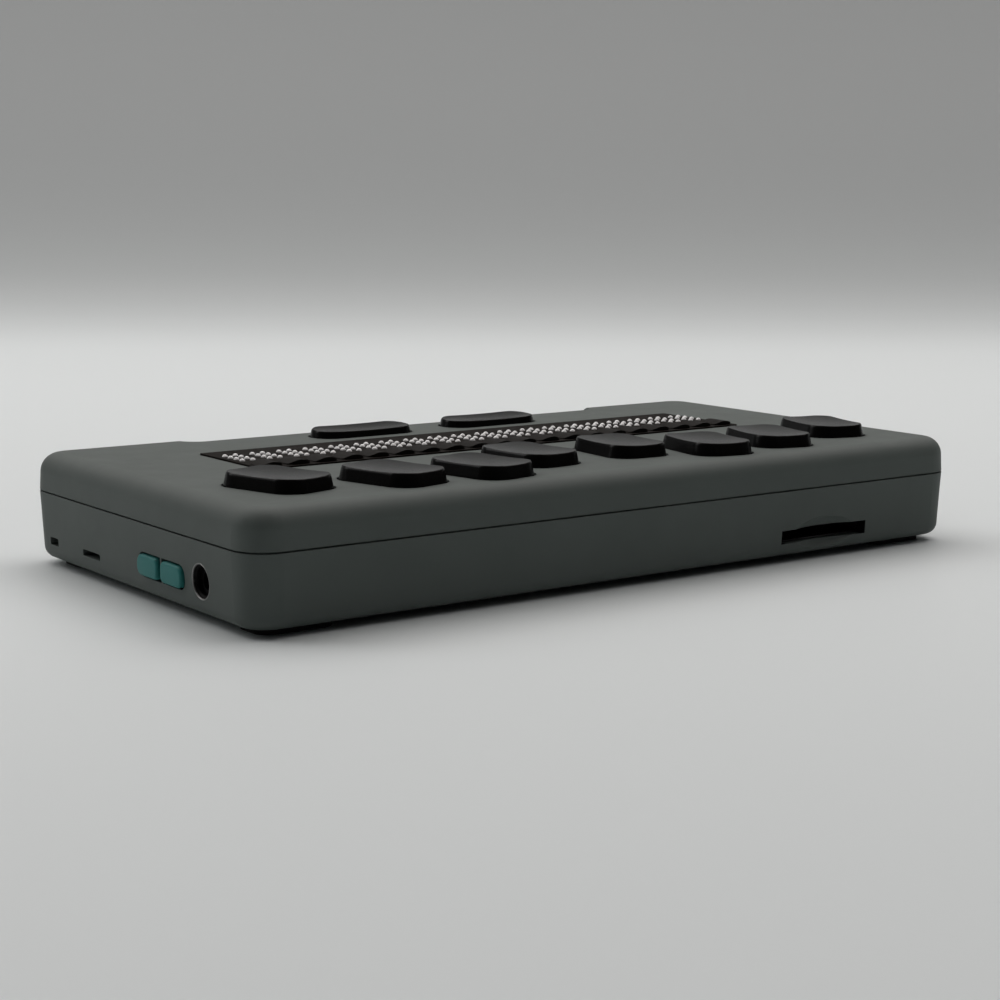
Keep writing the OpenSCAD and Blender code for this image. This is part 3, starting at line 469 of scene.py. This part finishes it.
for name, y, radii in CAPS:
    cap = bmesh.new()
    # from the base outwards, as (inset, x)
    steps = [(0.0, CAP_BASE), (0.0, CAP_FACE - CAP_SOFT)]
    for k in range(1, CAP_STEPS + 1):
        a = math.radians(90 * k / CAP_STEPS)
        steps.append((CAP_SOFT * (1 - math.cos(a)), CAP_FACE - CAP_SOFT * (1 - math.sin(a))))
    loops = []
    for inset, x in steps:
        corners = [r - CORNER_LOSS * inset for r in radii]
        half_y, half_z = CAP_HALF_Y - inset, CAP_HALF_Z - inset
        loops.append(rounded_loop(cap, x, y, EDGE_Z, half_y, half_z, corners))
    skin(cap, loops)
    obj = piece(name + "_cap", cap, teal_mat, name + "_button")
    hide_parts(name + "_button")

# Dark lining at both ends of the card slot, flush with the leaning wall
SLOT_X, SLOT_HALF = -50.6, 12.68
SLOT_LOW, SLOT_HIGH = 4.245, 7.155
SLOT_INNER, SLOT_OUTER = 44.75, 47.12
LINING, LINING_TAIL = 0.10, 1.2
LINING_OUTLINE = [
    (0, SLOT_LOW), (LINING_TAIL, SLOT_LOW),
    (LINING_TAIL, SLOT_LOW + LINING), (LINING, SLOT_LOW + LINING),
    (LINING, SLOT_HIGH - LINING), (LINING_TAIL, SLOT_HIGH - LINING),
    (LINING_TAIL, SLOT_HIGH), (0, SLOT_HIGH),
]
lining = bmesh.new()
for side in (-1, 1):
    outline = [(-side * x, z) for x, z in LINING_OUTLINE]
    bar(lining, outline, (SLOT_X + side * SLOT_HALF, SLOT_INNER, 0), SLOT_OUTER - SLOT_INNER)
for v in lining.verts:
    if v.co.y > SLOT_OUTER - LINING:
        v.co.y += WALL_SLOPE * (v.co.z - SLOT_LOW)
piece("slot_lining", lining, black_mat)

# Woven dust mesh between the speaker and its slot
MESH_X, MESH_Y, MESH_Z = 88.1, -18.65, 5.65
MESH_HALF_Y, MESH_HALF_Z = 5.2, 1.2
MESH_PITCH, MESH_WAVE, MESH_WIRE = 0.4, 0.05, 0.045
MESH_COLUMNS = round(2 * MESH_HALF_Y / MESH_PITCH) + 1
MESH_ROWS = round(2 * MESH_HALF_Z / MESH_PITCH) + 1


def crossing(k, m, wave):
    """The point of a wire where column k meets row m, in front or behind by turns."""
    y = MESH_Y - MESH_HALF_Y + k * MESH_PITCH
    z = MESH_Z - MESH_HALF_Z + m * MESH_PITCH
    return Vector((MESH_X + wave * (-1) ** (k + m), y, z))


weave = bmesh.new()
for k in range(MESH_COLUMNS):
    wire(weave, [crossing(k, m, MESH_WAVE) for m in range(MESH_ROWS)], MESH_WIRE)
for m in range(MESH_ROWS):
    wire(weave, [crossing(k, m, -MESH_WAVE) for k in range(MESH_COLUMNS)], MESH_WIRE)
piece("speaker_mesh", weave, metal("mesh_steel", (0.05, 0.05, 0.05), 0.45), smooth_deg=60)


# Studio: a pale table that runs into a backdrop, one sheet, made darker on the backdrop by painted
# shade

# Camera, fitted to the photograph
FORWARD = Vector((-0.5833, -0.7962, -0.1608)).normalized()
RIGHT = Vector((-0.8071, 0.5903, 0.0051)).normalized()
CAMERA_AT = Vector((0.25893, 0.35059, 0.08207))
FOCAL_MM, SENSOR_MM = 72.0, 36.0
# Directions on the table, away from the camera and across its view
ahead = Vector((FORWARD.x, FORWARD.y, 0)).normalized()
across = Vector((-ahead.y, ahead.x, 0))

TABLE_BACK, TABLE_END = 6.0, 0.62
SWEEP_R = 0.45
WALL_TOP = 2.2
HALF_WIDTH = 6.0
SHEET_STEPS = 24
# Colour of the main lamp, and the sheet's tint, which makes up for it
WARM = (1.0, 0.95, 0.93)
TINT = (1.0, 1.005, 0.99)
# Painted shade on the sheet, its grey falling off towards the backdrop, as (distance ahead of the
# middle of the part, grey)
PAINTED_SHADE_RANGE = (-0.4, 1.1)
TABLE_PAINTED_SHADE = [
    (-0.3, 0.68), (-0.1, 0.77), (0.2, 0.74), (0.5, 0.71), (0.65, 0.58), (0.76, 0.33), (0.9, 0.245),
]


def sweep_sheet():
    flat = (TABLE_BACK + TABLE_END) / SHEET_STEPS
    profile = [(-TABLE_BACK + i * flat, 0.0) for i in range(SHEET_STEPS)]
    for i in range(SHEET_STEPS + 1):
        a = math.pi / 2 * i / SHEET_STEPS
        profile.append((TABLE_END + SWEEP_R * math.sin(a), SWEEP_R * (1 - math.cos(a))))
    profile.append((TABLE_END + SWEEP_R, WALL_TOP))
    bm = bmesh.new()
    rows = []
    for s, z in profile:
        row = []
        for side in (-1, 0, 1):
            p = ahead * s + across * (side * HALF_WIDTH)
            row.append(bm.verts.new((p.x, p.y, z)))
        rows.append(row)
    for a, b in zip(rows, rows[1:]):
        for k in range(2):
            face = bm.faces.new((a[k], a[k + 1], b[k + 1], b[k]))
            face.smooth = True
    mesh = bpy.data.meshes.new("table_sheet")
    bm.to_mesh(mesh)
    bm.free()
    obj = bpy.data.objects.new("table_sheet", mesh)
    scene.collection.objects.link(obj)
    return obj


def table_material():
    """Matt paint with painted shade: its grey follows the distance from the camera."""
    mat, tree, bsdf = new_material("table_painted_shade")
    coord = tree.nodes.new("ShaderNodeTexCoord")
    along = add(tree, "ShaderNodeVectorMath")
    along.operation = "DOT_PRODUCT"
    along.inputs[1].default_value = tuple(ahead)
    tree.links.new(coord.outputs["Object"], along.inputs[0])
    # painted shade: this grey ramp stands in for the light falling off towards the backdrop
    tone = tree.nodes.new("ShaderNodeValToRGB")
    tone.color_ramp.interpolation = "B_SPLINE"
    stops = tone.color_ramp.elements
    while len(stops) < len(TABLE_PAINTED_SHADE):
        stops.new(0.5)
    for stop, (s, value) in zip(stops, TABLE_PAINTED_SHADE):
        stop.position = (s - PAINTED_SHADE_RANGE[0]) / (PAINTED_SHADE_RANGE[1] - PAINTED_SHADE_RANGE[0])
        stop.color = (*(value * tint / warm for tint, warm in zip(TINT, WARM)), 1)
    place = spread(tree, along.outputs["Value"], 0.0, 1.0, PAINTED_SHADE_RANGE)
    tree.links.new(place, tone.inputs["Fac"])
    tree.links.new(tone.outputs["Color"], bsdf.inputs["Base Color"])
    bsdf.inputs["Roughness"].default_value = 0.45
    bsdf.inputs["Specular IOR Level"].default_value = 0.35
    bumpy(tree, bsdf, noise(tree, scale=900.0, detail=3.0), 0.05, 0.05)
    return mat


table = sweep_sheet()
table.data.materials.append(table_material())


# Light: a wide softbox from above the part to well behind it, a softbox on the right towards the
# user, a weak high fill from the other side, and a faint surround


def softbox(name, at, size, power, target=(0, 0, 0), wide=(1, 0, 0)):
    """A rectangular lamp that faces target, its first side along wide."""
    lamp = bpy.data.lights.new(name, "AREA")
    lamp.shape = "RECTANGLE"
    lamp.size, lamp.size_y = size
    lamp.energy = power
    obj = bpy.data.objects.new(name, lamp)
    scene.collection.objects.link(obj)
    back = (Vector(at) - Vector(target)).normalized()
    deep = back.cross(Vector(wide)).normalized()
    axes = Matrix((deep.cross(back), deep, back)).transposed()
    obj.matrix_world = Matrix.Translation(at) @ axes.to_4x4()
    return obj


overhead = softbox(
    "overhead", ahead * 0.60 + Vector((0, 0, 1.0)),
    size=(2.4, 1.4), power=21.5, target=ahead * 0.45, wide=across,
)
overhead.data.color = WARM
softbox("side", (1.15, -1.25, 1.05), size=(1.4, 0.7), power=6.8, wide=across)
softbox("fill", (-1.2, 1.1, 2.2), size=(2.4, 1.6), power=3.4, wide=(0, 1, 0))

world = bpy.data.worlds.new("surround")
scene.world = world
world.use_nodes = True
surround = world.node_tree.nodes["Background"]
surround.inputs["Color"].default_value = (1.0, 1.0, 1.0, 1)
surround.inputs["Strength"].default_value = 0.02

camera = bpy.data.objects.new("camera", bpy.data.cameras.new("camera"))
scene.collection.objects.link(camera)
camera.data.lens = FOCAL_MM
camera.data.sensor_width = SENSOR_MM
camera.data.clip_start, camera.data.clip_end = 0.01, 20.0
turn = Matrix((RIGHT, RIGHT.cross(FORWARD), -FORWARD)).transposed()
camera.matrix_world = Matrix.Translation(CAMERA_AT) @ turn.to_4x4()
scene.camera = camera
